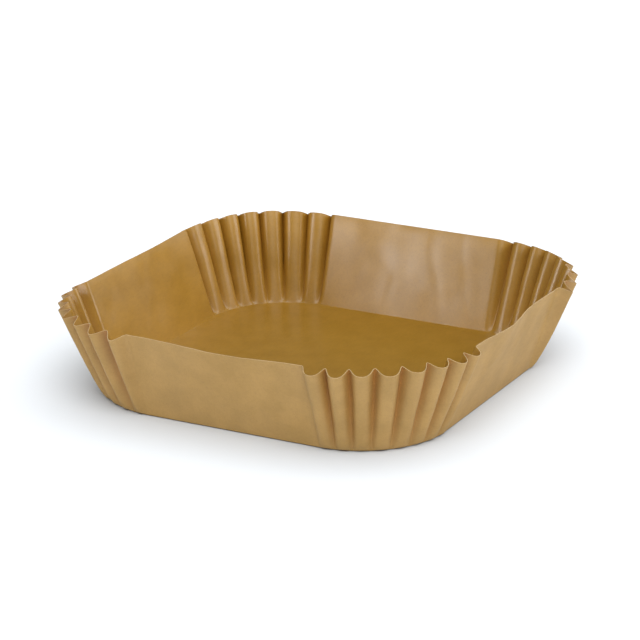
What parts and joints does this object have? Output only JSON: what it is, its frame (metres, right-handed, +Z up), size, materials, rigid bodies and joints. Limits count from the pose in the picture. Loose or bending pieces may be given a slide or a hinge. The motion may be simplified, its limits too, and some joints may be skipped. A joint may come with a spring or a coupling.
{
  "type": "air fryer paper liner",
  "caption": "Square kraft paper tray with flared walls and fluted, rounded corners, to line an air fryer basket.",
  "frame": {"origin": "middle of the floor's underside", "axes": "+Z up, out of the open top; +X and +Y square to two neighbouring walls"},
  "size_m": [0.1958, 0.1951, 0.0408],
  "materials": {
    "kraft_paper": "unbleached greaseproof paper with a faint silicone sheen"
  },
  "bodies": {
    "root": {"liner": "kraft_paper"}
  },
  "joints": []
}
